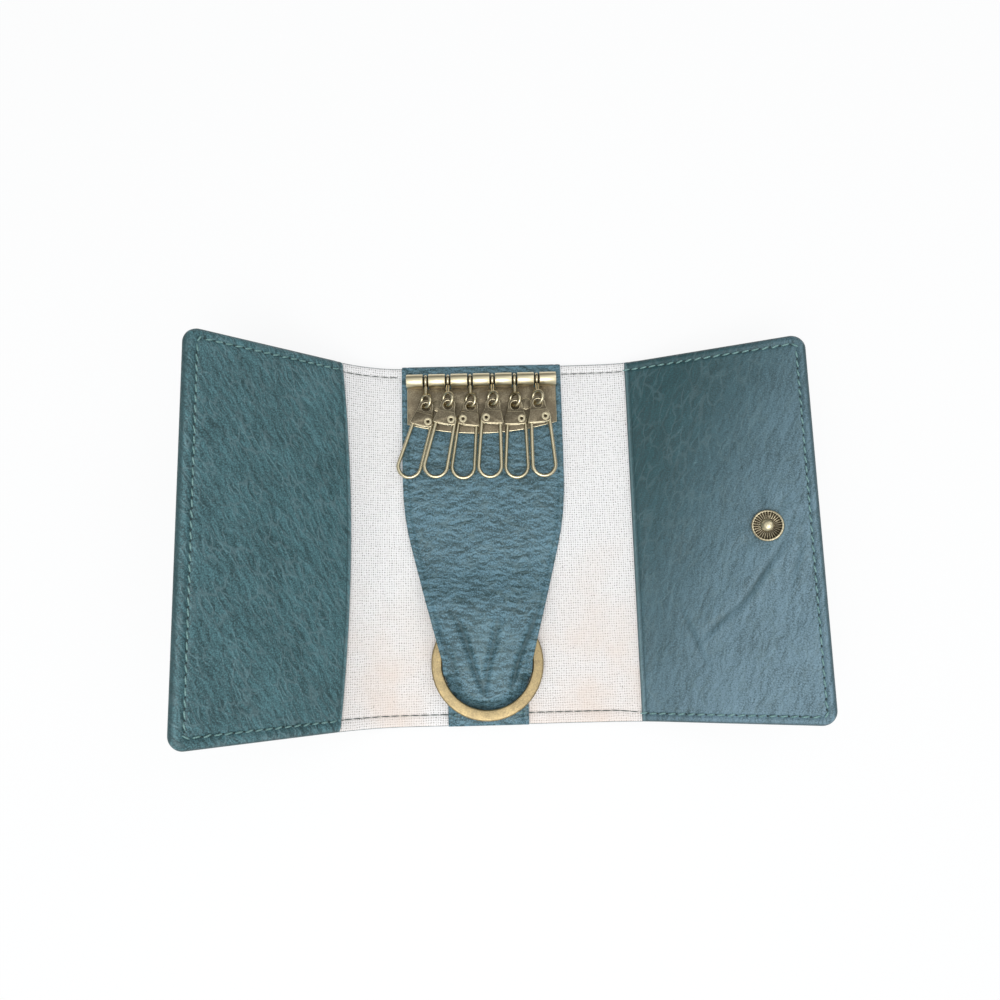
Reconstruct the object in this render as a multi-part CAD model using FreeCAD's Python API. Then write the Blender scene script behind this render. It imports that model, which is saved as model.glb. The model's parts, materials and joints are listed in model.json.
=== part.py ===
import FreeCAD, Part
import math
import os

# Key case, open and lying on its back. Millimetres.
# +X is to the right seen from the inside, +Y towards the key row, +Z up from the table.
# The origin is on the underside of the centre panel, on the centre line of the strap.

V = FreeCAD.Vector

# Sheets
CASE_H = 102.0
LEATHER = 1.4
CANVAS = 0.6
POCKET = 1.2
STRAP_T = 1.5
CORNER_R = 4.0
CREASE_GAP = 0.1
FACE_Z = LEATHER + CANVAS
HALF_H = CASE_H / 2

# Key row: plate with rolled barrel, rod, six hooks
HOOKS = 6
HOOK_PITCH = 6.38
SLOT_W = 1.6
ROW_W = 43.0
ROD_FROM_TOP = 5.1
ROD_R = 0.75
BARREL_R = 2.0
SHEET = 0.7
PLATE_H = 15.4
PLATE_SIDE_H = 12.4
WIRE_R = 0.475
WIRE_SIDES = 8
ROUND_SIDES = 12
EYE_CLEAR = 0.1
EYE_R = ROD_R + EYE_CLEAR + WIRE_R
RING_R = 1.8
RING_LEAN = 42.0
RING_STEPS = 16
HOLE_AT = 7.9
HOLE_R = 1.3
HEAD_TOP_R = 2.1
HEAD_W = 6.4
HEAD_DROP = 5.5
HEAD_TOP_T = 0.7
HEAD_SHEET = 0.28
HEAD_POCKET = 2 * WIRE_R + 0.05
HEAD_T = HEAD_POCKET + 2 * HEAD_SHEET
HEAD_EYE_CORNER = 1.1
HEAD_CORNER = 0.45
NOTCH_Y = 2.1
RIVET_X = 1.7
RIVET_Y = 3.9
RIVET_R = 0.6
RIVET_FLANGE_R = 1.05
RIVET_FLANGE = 0.15
RIVET_BORE = 0.38
LOOP_CLEAR = 0.05
LOOP_EYE_R = RIVET_R + LOOP_CLEAR + WIRE_R
LOOP_R = 3.2
LOOP_REACH = 21.2
LOOP_STEPS = 10
LATCH_X = 2.3
LATCH_IN = 0.7
LOOP_PITCH = 7.62
LOOP_SHIFT = -1.8
EYELET_SIDE = (1, 1, -1, -1, 1, 1)
DROOP = 3.0
LEVEL_STEP = 2.1
LINK_CLEAR = 0.2
RIVET_HEAD_R = 1.7
RIVET_HEAD = 0.3
RIVET_SHANK_R = 0.9
RIVET_DOWN = 7.0

ROD_Y = HALF_H - ROD_FROM_TOP
STRAP_TOP_Z = FACE_Z + STRAP_T
ROD_Z = STRAP_TOP_Z + BARREL_R
LINK_RISE = RING_R * math.sin(math.radians(RING_LEAN)) + WIRE_R
RING_AT = HOLE_AT - RING_R
LOW_LEVEL = LINK_RISE + LINK_CLEAR + SHEET - BARREL_R + RING_AT * math.sin(math.radians(DROOP))
LEVELS = (LOW_LEVEL, LOW_LEVEL + LEVEL_STEP)

# Folds. Each wing has a spine strip with a crease on both sides.
LEFT_CREASE = 27.4
LEFT_WING = 49.1
RIGHT_CREASE = 25.6
RIGHT_WING = 50.1
KEY_ROOM = 0.6
SNAP_GAP = 2.8
LEFT_SPINE = STRAP_T + BARREL_R + LEVELS[1] + LINK_RISE + KEY_ROOM + POCKET
RIGHT_SPINE = LEFT_SPINE + LEATHER + CANVAS + POCKET + SNAP_GAP
LEFT_SPINE_REST = 25.0
LEFT_WING_REST = 17.5
RIGHT_SPINE_REST = 2.5
RIGHT_WING_REST = 23.0
LEFT_MOUTH = 1.0
LEFT_MOUTH_BOW = 3.1
RIGHT_MOUTH = 0.4

# Snap
SNAP_EDGE = 12.9
SNAP_R = 4.15
STUD_RIM = 0.9
STUD_DISH = 0.45
STUD_DISH_R = 3.5
STUD_BALL_R = 1.75
STUD_H = 2.3
SOCKET_H = 1.7
SOCKET_BASE = 0.3
SOCKET_BORE_R = 2.0
CAP_R = 5.0
CAP_H = 1.3
POST_R = 1.2
POST_FLANGE_R = 3.5
SNAP_SIDES = 24
SNAP_AT = RIGHT_WING - SNAP_EDGE
SOCKET_AT = LEFT_CREASE + RIGHT_CREASE - SNAP_AT

# Ring and strap
RING_OUT_R = 15.4
RING_IN_R = 12.4
RING_T = 2.0
RING_EDGE = 0.5
RING_Y = -34.25
RING_SLACK = 0.25
RING_OVER = 0.5
RING_MID_R = (RING_OUT_R + RING_IN_R) / 2
RING_LOW_Z = FACE_Z + RING_SLACK + RING_T / 2
RING_HIGH_Z = STRAP_TOP_Z + RING_OVER + RING_T / 2
RING_TILT = math.degrees(math.asin((RING_HIGH_Z - RING_LOW_Z) / (2 * RING_MID_R)))
RING_SLIDE = 4.0
STRAP_W = 46.2
STRAP_TAPER = 0.29
TAPER_SOFT = 1.2
NECK_W = 22.0
NECK_DROP = 1.5
NECK_Y = RING_Y - NECK_DROP
HUMP_SLACK = 0.35
HUMP_RUN = 9.0
HUMP_STEPS = 14
SIDE_STEPS = 12
CREST_Y = RING_Y + RING_IN_R * 0.25
DIVE_Y = RING_Y - RING_IN_R * 0.45


def box(x0, x1, y0, y1, z0, z1):
    return Part.makeBox(x1 - x0, y1 - y0, z1 - z0, V(x0, y0, z0))


def circle_points(r, x, y, z, sides):
    """Corners round a circle; the sides touch it from outside, so that a hole keeps its radius."""
    out = r / math.cos(math.pi / sides)
    turns = [2 * math.pi * i / sides for i in range(sides)]
    return [V(x + out * math.cos(a), y + out * math.sin(a), z) for a in turns]


def flat(points):
    return Part.Face(Part.makePolygon(points + points[:1]))


def ngon(r, x, y, z0, z1, sides=ROUND_SIDES):
    return flat(circle_points(r, x, y, z0, sides)).extrude(V(0, 0, z1 - z0))


def turned(outline, x):
    """A round piece from its half section: (radius, height) corners, from the axis out and back to it."""
    rows = [circle_points(r, x, 0, z, SNAP_SIDES) for r, z in outline[1:-1]]
    faces = [flat(rows[0])]
    for a, b in zip(rows, rows[1:]):
        for i in range(SNAP_SIDES):
            j = (i + 1) % SNAP_SIDES
            faces.append(flat([a[i], a[j], b[j], b[i]]))
    if outline[-1][1] == outline[-2][1]:
        faces.append(flat(rows[-1]))
    else:
        tip = V(x, 0, outline[-1][1])
        faces += [flat([rows[-1][i - 1], rows[-1][i], tip]) for i in range(SNAP_SIDES)]
    solid = Part.Solid(Part.makeShell(faces))
    return solid if solid.Volume > 0 else solid.reversed()


def prism(edges, z0, z1):
    face = Part.Face(Part.Wire(edges))
    solid = face.extrude(V(0, 0, z1 - z0))
    solid.translate(V(0, 0, z0))
    return solid


def line(a, b):
    return Part.makeLine(V(*a), V(*b))


def arc(a, b, c):
    return Part.Arc(V(*a), V(*b), V(*c)).toShape()


def panel(start, width, z0, z1, bow=0.0):
    """A wing's sheet in its own frame: hinge line at x = 0, rounded corners at the free edge.

    With a bow the edge by the hinge is an arc, furthest out at mid height."""
    h = HALF_H
    r = CORNER_R
    k = r * (1 - math.sqrt(0.5))
    inner = line((start + bow, h, 0), (start + bow, -h, 0))
    if bow:
        inner = arc((start + bow, h, 0), (start, 0, 0), (start + bow, -h, 0))
    edges = [
        inner,
        line((start + bow, -h, 0), (width - r, -h, 0)),
        arc((width - r, -h, 0), (width - k, -h + k, 0), (width, -h + r, 0)),
        line((width, -h + r, 0), (width, h - r, 0)),
        arc((width, h - r, 0), (width - k, h - k, 0), (width - r, h, 0)),
        line((width - r, h, 0), (start + bow, h, 0)),
    ]
    return prism(edges, z0, z1)


def mirrored(shape):
    return shape.mirror(V(0, 0, 0), V(1, 0, 0))


def hinge_point(side, crease, spine, angle):
    """Where the outer crease of a wing is at rest."""
    a = math.radians(angle)
    return V(side * (crease + spine * math.cos(a)), 0, FACE_Z + spine * math.sin(a))


def folded(shape, side, at, angle):
    """Carries a sheet from its own frame (hinge line at the origin) to its place."""
    if side < 0:
        shape = mirrored(shape)
    m = FreeCAD.Placement(at, FreeCAD.Rotation(V(0, 1, 0), -side * angle))
    return shape.transformed(m.toMatrix())


LEFT_A = V(-LEFT_CREASE, 0, FACE_Z)
LEFT_B = hinge_point(-1, LEFT_CREASE, LEFT_SPINE, LEFT_SPINE_REST)
RIGHT_A = V(RIGHT_CREASE, 0, FACE_Z)
RIGHT_B = hinge_point(1, RIGHT_CREASE, RIGHT_SPINE, RIGHT_SPINE_REST)


def case_sheets():
    g = CREASE_GAP / 2
    h = HALF_H
    out = {}
    out["outer_centre"] = box(-LEFT_CREASE + g, RIGHT_CREASE - g, -h, h, 0, LEATHER)
    out["lining_centre"] = box(-LEFT_CREASE + g, RIGHT_CREASE - g, -h, h, LEATHER, FACE_Z)
    for name, side, spine, width, at_a, at_b, a1, a2 in (
        ("left", -1, LEFT_SPINE, LEFT_WING, LEFT_A, LEFT_B, LEFT_SPINE_REST, LEFT_WING_REST),
        ("right", 1, RIGHT_SPINE, RIGHT_WING, RIGHT_A, RIGHT_B, RIGHT_SPINE_REST, RIGHT_WING_REST),
    ):
        strip = box(g, spine - g, -h, h, -FACE_Z, -CANVAS)
        out["outer_%s_spine" % name] = folded(strip, side, at_a, a1)
        strip = box(g, spine - g, -h, h, -CANVAS, 0)
        out["lining_%s_spine" % name] = folded(strip, side, at_a, a1)
        leather = panel(g, width, -FACE_Z, -CANVAS)
        lining = panel(g, width, -CANVAS, 0)
        if side > 0:
            pocket = panel(RIGHT_MOUTH, width, 0, POCKET)
            bore = ngon(POST_R, SNAP_AT, 0, -FACE_Z, POCKET, SNAP_SIDES)
            leather = leather.cut(bore)
            lining = lining.cut(bore)
            pocket = pocket.cut(bore)
        else:
            pocket = panel(LEFT_MOUTH, width, 0, POCKET, LEFT_MOUTH_BOW)
            leather = leather.cut(ngon(POST_R, SOCKET_AT, 0, -FACE_Z, 0, SNAP_SIDES))
            lining = lining.cut(ngon(POST_FLANGE_R, SOCKET_AT, 0, -CANVAS, 0, SNAP_SIDES))
        out["outer_%s_wing" % name] = folded(leather, side, at_b, a1 + a2)
        out["lining_%s_wing" % name] = folded(lining, side, at_b, a1 + a2)
        out["pocket_%s" % name] = folded(pocket, side, at_b, a1 + a2)
    return out


def snap():
    a = RIGHT_SPINE_REST + RIGHT_WING_REST
    b = LEFT_SPINE_REST + LEFT_WING_REST
    p = POCKET
    neck_r = STUD_BALL_R * 0.8
    mid = p + STUD_H - STUD_BALL_R * 0.7
    stud = turned(
        [
            (0, p), (SNAP_R, p), (SNAP_R, p + STUD_RIM), (STUD_DISH_R, p + STUD_RIM),
            (neck_r, p + STUD_RIM - STUD_DISH), (STUD_BALL_R, mid),
            (STUD_BALL_R * 0.75, p + STUD_H - STUD_BALL_R * 0.25), (0, p + STUD_H),
        ],
        SNAP_AT,
    )
    z = -FACE_Z
    cap = turned(
        [
            (0, p), (POST_R, p), (POST_R, z), (CAP_R, z), (CAP_R * 0.93, z - CAP_H * 0.45),
            (CAP_R * 0.6, z - CAP_H * 0.88), (0, z - CAP_H),
        ],
        SNAP_AT,
    )
    rim = (SNAP_R + SOCKET_BORE_R) / 2
    socket = turned(
        [
            (0, z), (SNAP_R, z), (SNAP_R, z - SOCKET_H * 0.6), (rim, z - SOCKET_H),
            (SOCKET_BORE_R, z - SOCKET_H), (SOCKET_BORE_R, z - SOCKET_BASE), (0, z - SOCKET_BASE),
        ],
        SOCKET_AT,
    )
    post = turned(
        [(0, z), (POST_R, z), (POST_R, -CANVAS), (POST_FLANGE_R, -CANVAS), (POST_FLANGE_R, 0), (0, 0)],
        SOCKET_AT,
    )
    return {
        "snap_stud": folded(stud, 1, RIGHT_B, a),
        "snap_cap": folded(cap, 1, RIGHT_B, a),
        "snap_socket": folded(socket, -1, LEFT_B, b),
        "snap_post": folded(post, -1, LEFT_B, b),
    }


def strap_half(y):
    """Half the strap's width in plan: even at the top, a straight taper, then the tab."""
    top = STRAP_W / 2
    neck = NECK_W / 2
    taper = neck + STRAP_TAPER * max(0.0, y - NECK_Y)
    return taper - TAPER_SOFT * math.log(1 + math.exp((taper - top) / TAPER_SOFT))


def ring_top(y):
    """Height of the ring's upper face over the strap's centre line."""
    return ring_mid(y) + RING_T / 2 / math.cos(math.radians(RING_TILT))


def ring_mid(y):
    slope = math.tan(math.radians(RING_TILT))
    return (RING_LOW_Z + RING_HIGH_Z) / 2 + (RING_Y - y) * slope


def smooth(t):
    t = min(max(t, 0.0), 1.0)
    return t * t * (3 - 2 * t)


def strap_under(y):
    """Height of the strap's underside: up over the ring's far side, then down through the ring."""
    up = RING_Y + RING_OUT_R
    rise = smooth((up + HUMP_RUN - y) / HUMP_RUN)
    fall = smooth((y - DIVE_Y) / (CREST_Y - DIVE_Y))
    return FACE_Z + (ring_top(y) + HUMP_SLACK - FACE_Z) * min(rise, fall)


def key_strap(plate_holes):
    h = HALF_H
    first = RING_Y + RING_OUT_R + HUMP_RUN
    ys = [first + (DIVE_Y - first) * i / HUMP_STEPS for i in range(HUMP_STEPS + 1)]
    under = [V(0, y, strap_under(y)) for y in [h] + ys + [-h]]
    above = [p.add(V(0, 0, STRAP_T)) for p in reversed(under)]
    body = flat(under + above).extrude(V(2 * STRAP_W, 0, 0))
    body.translate(V(-STRAP_W, 0, 0))
    ys = [h + (DIVE_Y - h) * i / SIDE_STEPS for i in range(SIDE_STEPS + 1)]
    right = [V(strap_half(y), y, 0) for y in ys + [-h]]
    left = [V(-p.x, p.y, 0) for p in reversed(right)]
    plan = flat(right + left).extrude(V(0, 0, ROD_Z + RING_T + STRAP_T))
    return body.common(plan).cut(plate_holes)


def strap_ring():
    e = RING_EDGE
    t = RING_T / 2
    r0 = RING_IN_R
    r1 = RING_OUT_R
    corners = [(r0, -t), (r1, -t), (r1, t - e), (r1 - e, t), (r0 + e, t), (r0, t - e)]
    ring = flat([V(r, 0, z) for r, z in corners]).revolve(V(0, 0, 0), V(0, 0, 1), 360)
    ring.rotate(V(0, 0, 0), V(1, 0, 0), -RING_TILT)
    ring.translate(V(0, RING_Y, (RING_LOW_Z + RING_HIGH_Z) / 2))
    return ring


def slot_x(k):
    return (k - (HOOKS - 1) / 2) * HOOK_PITCH


def rivet_spots():
    return [(s * 2 * HOOK_PITCH, ROD_Y - RIVET_DOWN) for s in (-1, 1)]


def key_row():
    w = ROW_W / 2
    z = STRAP_TOP_Z
    y1 = ROD_Y - PLATE_SIDE_H
    edges = [
        line((w, ROD_Y, 0), (-w, ROD_Y, 0)),
        line((-w, ROD_Y, 0), (-w, y1, 0)),
        arc((-w, y1, 0), (0, ROD_Y - PLATE_H, 0), (w, y1, 0)),
        line((w, y1, 0), (w, ROD_Y, 0)),
    ]
    plate = prism(edges, z, z + SHEET)
    barrel = Part.makeCylinder(BARREL_R, ROW_W, V(-w, ROD_Y, ROD_Z), V(1, 0, 0))
    plate = plate.fuse(barrel)
    rod = Part.makeCylinder(ROD_R, ROW_W, V(-w, ROD_Y, ROD_Z), V(1, 0, 0))
    bore = ngon(ROD_R, 0, 0, 0, ROW_W)
    bore.rotate(V(0, 0, 0), V(0, 1, 0), 90)
    bore.translate(V(-w, ROD_Y, ROD_Z))
    cuts = [bore]
    reach = max(BARREL_R, EYE_R + WIRE_R) + EYE_CLEAR
    for k in range(HOOKS):
        x = slot_x(k)
        s = SLOT_W / 2
        cuts.append(box(x - s, x + s, ROD_Y - reach, ROD_Y + reach, z, ROD_Z + BARREL_R))
    holes = []
    rivets = []
    for x, y in rivet_spots():
        holes.append(ngon(RIVET_SHANK_R, x, y, FACE_Z, z + SHEET))
        head = ngon(RIVET_HEAD_R, x, y, z + SHEET, z + SHEET + RIVET_HEAD)
        rivets.append(head.fuse(holes[-1]).removeSplitter())
    plate = plate.cut(cuts + holes).removeSplitter()
    return plate, rod, Part.makeCompound(rivets), Part.makeCompound(holes)


def wire_tube(points, normal, closed=False):
    """Wire bent along points that lie in one plane, mitred at each bend."""
    last = len(points) - 1
    ways = [points[(i + 1) % len(points)].sub(p).normalize() for i, p in enumerate(points)]
    rows = []
    for i, p in enumerate(points):
        before = ways[i - 1] if closed or i else ways[0]
        after = ways[i] if closed or i < last else ways[i - 1]
        along = before.add(after).normalize()
        across = normal.cross(along).multiply(1 / along.dot(before))
        row = []
        for j in range(WIRE_SIDES):
            a = (j + 0.5) * 2 * math.pi / WIRE_SIDES
            offset = V(across).multiply(WIRE_R * math.cos(a))
            row.append(p.add(offset).add(V(normal).multiply(WIRE_R * math.sin(a))))
        rows.append(row)
    faces = []
    for i in range(len(points) if closed else last):
        a, b = rows[i], rows[(i + 1) % len(rows)]
        for j in range(WIRE_SIDES):
            k = (j + 1) % WIRE_SIDES
            faces.append(flat([a[j], a[k], b[k], b[j]]))
    if not closed:
        faces += [flat(rows[0]), flat(rows[-1])]
    solid = Part.Solid(Part.makeShell(faces))
    return solid if solid.Volume > 0 else solid.reversed()


def wire_eye(r):
    """A closed eye of wire about Z, flattened between the sheets or knuckles that hold it."""
    eye = ngon(r + WIRE_R, 0, 0, -WIRE_R, WIRE_R)
    return eye.cut(ngon(r - WIRE_R, 0, 0, -WIRE_R, WIRE_R))


def bend(centre, r, a0, a1, steps):
    """Points on an arc in the XY plane, from angle a0 to a1 in radians."""
    turns = [a0 + (a1 - a0) * i / steps for i in range(steps + 1)]
    return [centre.add(V(r * math.cos(a), r * math.sin(a), 0)) for a in turns]


def link(level):
    """Eye on the rod, neck, and the ring that carries the head. Rod axis at the origin."""
    eye = wire_eye(EYE_R)
    eye.rotate(V(0, 0, 0), V(0, 1, 0), 90)
    top = V(0, -RING_AT + RING_R, level)
    start = V(top).normalize().multiply(EYE_R)
    neck = wire_tube([start, top], V(1, 0, 0))
    turn = math.pi / RING_STEPS
    path = bend(V(0, 0, 0), RING_R, turn, 2 * math.pi - turn, RING_STEPS - 1)
    ring = wire_tube(path, V(0, 0, 1), True)
    ring.rotate(V(0, 0, 0), V(0, 1, 0), -RING_LEAN)
    ring.translate(V(0, -RING_AT, level))
    return eye.fuse([neck, ring]).removeSplitter()


def head(side):
    """Folded sheet head, hole at the origin, rivet corner on the given side."""
    b = HEAD_W / 2
    y0 = -HEAD_DROP
    r = HEAD_TOP_R
    c = HEAD_EYE_CORNER
    q = HEAD_CORNER
    tip = math.atan2(HEAD_DROP - c, b) + math.asin(r / math.hypot(HEAD_DROP - c, b)) - math.pi / 2
    half = math.pi / 2
    outline = bend(V(0, 0, 0), r, tip, math.pi - tip, 8)
    outline += bend(V(-b + q, y0 + q, 0), q, math.pi, 3 * half, 2)
    outline += bend(V(b - c, y0 + c, 0), c, -half, 0, 4)
    body = flat(outline).extrude(V(0, 0, HEAD_T))
    body.translate(V(0, 0, -HEAD_T / 2))
    big = HEAD_W
    step = NOTCH_Y - HEAD_SHEET
    for z0, z1 in ((-HEAD_T, -HEAD_TOP_T / 2), (HEAD_TOP_T / 2, HEAD_T)):
        body = body.cut(box(-big, big, -step, big, z0, z1))
    body = body.cut(box(-big, big, -HEAD_DROP - 1, -NOTCH_Y, -HEAD_POCKET / 2, HEAD_POCKET / 2))
    body = body.cut(ngon(HOLE_R, 0, 0, -HEAD_T, HEAD_T))
    body = body.cut(ngon(RIVET_R, RIVET_X, -RIVET_Y, -HEAD_T, HEAD_T)).removeSplitter()
    return body if side > 0 else mirrored(body)


def rivet(side):
    t = HEAD_T / 2
    body = ngon(RIVET_R, RIVET_X, -RIVET_Y, -t, t)
    for z in (-t - RIVET_FLANGE, t):
        body = body.fuse(ngon(RIVET_FLANGE_R, RIVET_X, -RIVET_Y, z, z + RIVET_FLANGE))
    body = body.cut(ngon(RIVET_BORE, RIVET_X, -RIVET_Y, -HEAD_T, HEAD_T)).removeSplitter()
    return body if side > 0 else mirrored(body)


def loop(side):
    """Sprung wire loop: eye round the rivet, two legs and the round end."""
    eye_at = V(RIVET_X, -RIVET_Y, 0)
    end_at = V(0, -(LOOP_REACH - WIRE_R - LOOP_R), 0)
    tip = V(-LATCH_X, -(HEAD_DROP - LATCH_IN), 0)
    across = end_at.sub(eye_at)
    turn = math.atan2(across.y, across.x) + math.acos((LOOP_EYE_R - LOOP_R) / across.Length)
    out = turn
    down = tip.sub(end_at)
    turn = math.atan2(down.y, down.x) + math.acos(LOOP_R / down.Length)
    start = eye_at.add(V(LOOP_EYE_R * math.cos(out), LOOP_EYE_R * math.sin(out), 0))
    path = [start] + bend(end_at, LOOP_R, out, turn - 2 * math.pi, LOOP_STEPS) + [tip]
    eye = wire_eye(LOOP_EYE_R)
    eye.translate(eye_at)
    body = eye.fuse(wire_tube(path, V(0, 0, 1))).removeSplitter()
    return body if side > 0 else mirrored(body)


def hook_sway(k):
    """Sideways lean of a hook at rest, so that the six loops lie side by side."""
    lane = LOOP_SHIFT + (k - (HOOKS - 1) / 2) * LOOP_PITCH
    return math.degrees(math.asin((lane - slot_x(k)) / (LOOP_REACH - WIRE_R - LOOP_R)))


def hook_frame(k):
    """From a hook's own frame (rod axis at the origin, hook along -Y) to the case."""
    return FreeCAD.Placement(V(slot_x(k), ROD_Y, ROD_Z), FreeCAD.Rotation(V(1, 0, 0), DROOP))


def head_frame(k):
    """From a head's own frame (hole at the origin) to the case."""
    local = FreeCAD.Placement(
        V(0, -HOLE_AT, LEVELS[k % 2]), FreeCAD.Rotation(V(0, 0, 1), hook_sway(k))
    )
    return hook_frame(k).multiply(local)


def hooks():
    out = {}
    for k in range(HOOKS):
        side = EYELET_SIDE[k]
        m = head_frame(k).toMatrix()
        n = "hook_%d_" % (k + 1)
        out[n + "link"] = link(LEVELS[k % 2]).transformed(hook_frame(k).toMatrix())
        out[n + "head"] = head(side).transformed(m)
        out[n + "rivet"] = rivet(side).transformed(m)
        out[n + "loop"] = loop(side).transformed(m)
    return out


def build():
    parts = case_sheets()
    plate, rod, rivets, holes = key_row()
    parts["key_plate"] = plate
    parts["hinge_rod"] = rod
    parts["plate_rivets"] = rivets
    parts["key_strap"] = key_strap(holes)
    parts["strap_ring"] = strap_ring()
    parts.update(hooks())
    parts.update(snap())
    return parts


def main():
    os.makedirs("parts", exist_ok=True)
    for name, shape in build().items():
        shape.exportStep(os.path.join("parts", name + ".step"))


if __name__ == "__main__":
    main()
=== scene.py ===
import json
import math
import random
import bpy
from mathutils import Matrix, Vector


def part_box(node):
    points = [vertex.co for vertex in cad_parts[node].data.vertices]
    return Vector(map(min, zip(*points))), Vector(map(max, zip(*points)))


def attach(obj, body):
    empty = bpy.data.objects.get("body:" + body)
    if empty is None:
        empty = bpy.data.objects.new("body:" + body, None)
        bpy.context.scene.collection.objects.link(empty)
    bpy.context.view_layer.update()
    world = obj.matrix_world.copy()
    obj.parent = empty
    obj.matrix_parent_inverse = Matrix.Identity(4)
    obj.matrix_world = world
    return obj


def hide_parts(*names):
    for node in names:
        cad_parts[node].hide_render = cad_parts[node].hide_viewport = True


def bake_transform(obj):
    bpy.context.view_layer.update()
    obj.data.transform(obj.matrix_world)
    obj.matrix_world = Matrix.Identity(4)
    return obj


bl_info = {
    "name": "Folding Key Case",
    "version": (1, 0, 0),
    "blender": (4, 5, 0),
    "location": "View3D > Sidebar > Key Case",
    "description": "Dresses the solids of an open folding key case in leather, canvas, thread and brass",
    "category": "Object",
}

import bmesh
import bpy
from mathutils import Matrix, Vector, noise

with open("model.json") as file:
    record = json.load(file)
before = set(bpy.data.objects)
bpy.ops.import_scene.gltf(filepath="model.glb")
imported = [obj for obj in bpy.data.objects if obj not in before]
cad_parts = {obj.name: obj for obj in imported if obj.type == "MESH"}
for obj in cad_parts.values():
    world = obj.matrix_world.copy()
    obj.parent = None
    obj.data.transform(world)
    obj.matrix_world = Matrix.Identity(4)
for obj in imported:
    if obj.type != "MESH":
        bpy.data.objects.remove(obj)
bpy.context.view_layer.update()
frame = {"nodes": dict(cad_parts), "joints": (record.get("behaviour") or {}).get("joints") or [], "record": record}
JOINTS = {joint["name"]: joint for joint in frame["joints"]}
MOUNTS = {mount["name"]: mount for mount in frame["record"]["mounts"]}
MM = 0.001
HOOKS = 6

FACE_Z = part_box("lining_centre")[1].z
HALF_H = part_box("outer_centre")[1].y
ROD_LOW, ROD_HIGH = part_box("hinge_rod")
ROD_Y = (ROD_LOW.y + ROD_HIGH.y) / 2
ROD_Z = (ROD_LOW.z + ROD_HIGH.z) / 2
STRAP_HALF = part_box("key_strap")[1].x
RING_LOW, RING_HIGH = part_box("strap_ring")
RING_Y = (RING_LOW.y + RING_HIGH.y) / 2
RING_Z = (RING_LOW.z + RING_HIGH.z) / 2
RING_OUT = (RING_HIGH.x - RING_LOW.x) / 2
RING_BAND = 3.0 * MM
RING_IN = RING_OUT - RING_BAND
RING_T = 2.0 * MM
RING_TILT = math.asin((RING_HIGH.z - RING_LOW.z - RING_T) / (2 * RING_OUT))

# Spacing of the points in the outer leather and the lining.
GRID = 1.2 * MM

# Distance of the pockets' mouths from the outer creases, and how far the left one bows at its ends.
LEFT_MOUTH = 1.0 * MM
LEFT_BOW = 3.1 * MM
RIGHT_MOUTH = 0.4 * MM

# How deep the thread lies in the pocket leather, in the canvas and in the leather of the back.
SUNK_POCKET = 0.16 * MM
SUNK_CANVAS = 0.06 * MM
SUNK_BACK = 0.14 * MM

# Half sections of the snap's parts: radius and height in millimetres.
STUD = (
    (0, 0), (4.15, 0), (4.15, 0.9), (3.6, 0.95), (3.35, 0.55), (1.7, 0.40), (1.4, 0.5),
    (1.7, 1.05), (1.66, 1.5), (1.3, 1.95), (0.8, 2.22), (0, 2.3),
)
CAP = ((0, 0), (5.0, 0), (4.95, -0.3), (4.55, -0.75), (3.4, -1.08), (1.8, -1.25), (0, -1.3))
SOCKET = (
    (0, 0), (4.15, 0), (4.15, -0.8), (3.8, -1.3), (3.1, -1.7), (2.35, -1.7), (2.0, -1.5),
    (2.0, -0.3), (0, -0.3),
)

# Creases round the stud, in millimetres: place from the stud (x, y), angle in degrees, half length, depth.
PULLS = (
    (-2.8, -13.0, 53.4, 9.0, 0.75),
    (-13.4, -24.0, 41.0, 7.5, 0.60),
    (-21.5, -28.0, 113.0, 7.5, 0.60),
    (6.3, -9.2, 72.5, 5.0, 0.45),
    (-1.5, 8.5, 104.0, 3.5, 0.35),
)

# Folds of the gathered strap: place across it above and at the ring, depth in millimetres, width.
GATHERS = (
    (-0.60, -0.12, 0.9, 0.07),
    (0.22, -0.06, 0.8, 0.08),
    (0.86, 0.60, 0.9, 0.07),
    (-0.90, -0.74, 0.6, 0.08),
)


def length(name, description, value):
    return bpy.props.FloatProperty(
        name=name, description=description, default=value, min=0.0, precision=5,
        unit="LENGTH", subtype="DISTANCE",
    )


def colour(name, description, value):
    return bpy.props.FloatVectorProperty(
        name=name, description=description, default=value, size=3, min=0.0, max=1.0, subtype="COLOR"
    )


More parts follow.
